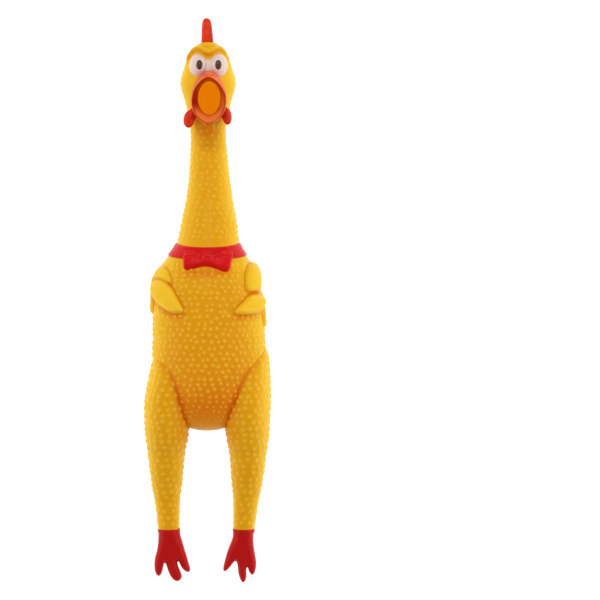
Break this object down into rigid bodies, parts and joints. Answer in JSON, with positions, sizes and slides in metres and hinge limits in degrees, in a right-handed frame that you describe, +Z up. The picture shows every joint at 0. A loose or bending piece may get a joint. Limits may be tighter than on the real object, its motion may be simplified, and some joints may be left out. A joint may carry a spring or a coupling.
{
  "type": "squeaking rubber chicken",
  "caption": "Hollow vinyl squeeze chicken with open beak, neck bow tie, nodular skin, flexing neck and legs, and a reed squeaker in its throat.",
  "frame": {"origin": "middle of the bounding box across and along, at the lowest point, on the ground the toy lies on", "axes": "+Y from the toes to the comb, +Z up out of the belly, +X across the toy to the side of the chicken's own left wing"},
  "size_m": [0.0704, 0.31, 0.0498],
  "materials": {
    "yellow_vinyl": "glossy yellow-orange squeeze vinyl with small nodules",
    "red_paint": "glossy red paint on the same vinyl",
    "beak_paint": "glossy orange-red paint on the same vinyl",
    "eye_paint": "glossy pinkish white paint on the same vinyl",
    "pupil_paint": "glossy dark brown paint on the same vinyl",
    "squeaker_plastic": "plain off-white moulding",
    "reed_film": "thin springy plastic film"
  },
  "bodies": {
    "torso": {"torso_skin": "yellow_vinyl", "collar_band": "red_paint", "bow_tie": "red_paint", "left_wing": "yellow_vinyl", "right_wing": "yellow_vinyl"},
    "belly": {"belly_panel": "yellow_vinyl"},
    "neck_lower": {"neck_lower_skin": "yellow_vinyl"},
    "neck_upper": {"neck_upper_skin": "yellow_vinyl", "squeaker_housing": "squeaker_plastic", "squeaker_reed_seat": "squeaker_plastic", "squeaker_reed_wedge": "squeaker_plastic"},
    "reed": {"squeaker_reed": "reed_film"},
    "head": {"head_skin": "yellow_vinyl", "comb": "red_paint", "beak": "beak_paint", "left_eye": "eye_paint", "right_eye": "eye_paint", "left_pupil": "pupil_paint", "right_pupil": "pupil_paint", "left_wattle": "red_paint", "right_wattle": "red_paint"},
    "left_thigh": {"left_thigh_skin": "yellow_vinyl"},
    "left_shank": {"left_shank_skin": "yellow_vinyl"},
    "left_foot": {"left_foot": "red_paint"},
    "right_thigh": {"right_thigh_skin": "yellow_vinyl"},
    "right_shank": {"right_shank_skin": "yellow_vinyl"},
    "right_foot": {"right_foot": "red_paint"}
  },
  "joints": [
    {"name": "belly_squeeze", "type": "slide", "parent": "torso", "child": "belly", "axis": [0, 0, -1], "range_m": [0, 0.01], "stiffness_N_per_m": 600},
    {"name": "neck_bend", "type": "hinge", "parent": "torso", "child": "neck_lower", "pos_m": [0, 0.03, 0.02], "axis": [1, 0, 0], "range_deg": [-20, 20], "stiffness_Nm_per_rad": 0.6},
    {"name": "neck_sway", "type": "hinge", "parent": "neck_lower", "child": "neck_upper", "pos_m": [0, 0.0663, 0.0144], "axis": [0, 0, 1], "range_deg": [-22, 22], "stiffness_Nm_per_rad": 0.4},
    {"name": "head_nod", "type": "hinge", "parent": "neck_upper", "child": "head", "pos_m": [0, 0.097, 0.013], "axis": [1, 0, 0], "range_deg": [-18, 18], "stiffness_Nm_per_rad": 0.3},
    {"name": "left_hip_swing", "type": "hinge", "parent": "torso", "child": "left_thigh", "pos_m": [-0.0216, -0.064, 0.026], "axis": [-1, 0, 0], "range_deg": [-10, 35], "stiffness_Nm_per_rad": 0.35},
    {"name": "left_knee_bend", "type": "hinge", "parent": "left_thigh", "child": "left_shank", "pos_m": [-0.0222, -0.0955, 0.0172], "axis": [1, 0, 0], "range_deg": [-20, 22], "stiffness_Nm_per_rad": 0.2},
    {"name": "left_ankle_bend", "type": "hinge", "parent": "left_shank", "child": "left_foot", "pos_m": [-0.0207, -0.1285, 0.01], "axis": [1, 0, 0], "range_deg": [-20, 20], "stiffness_Nm_per_rad": 0.1},
    {"name": "right_hip_swing", "type": "hinge", "parent": "torso", "child": "right_thigh", "pos_m": [0.0216, -0.064, 0.026], "axis": [-1, 0, 0], "range_deg": [-10, 35], "stiffness_Nm_per_rad": 0.35},
    {"name": "right_knee_bend", "type": "hinge", "parent": "right_thigh", "child": "right_shank", "pos_m": [0.0222, -0.0955, 0.0172], "axis": [1, 0, 0], "range_deg": [-20, 22], "stiffness_Nm_per_rad": 0.2},
    {"name": "right_ankle_bend", "type": "hinge", "parent": "right_shank", "child": "right_foot", "pos_m": [0.0207, -0.1285, 0.01], "axis": [1, 0, 0], "range_deg": [-20, 20], "stiffness_Nm_per_rad": 0.1},
    {"name": "reed_buzz", "type": "hinge", "parent": "neck_upper", "child": "reed", "pos_m": [0, 0.0743, 0.0141], "axis": [1, 0, 0], "range_deg": [0, 4], "stiffness_Nm_per_rad": 0.0004}
  ]
}
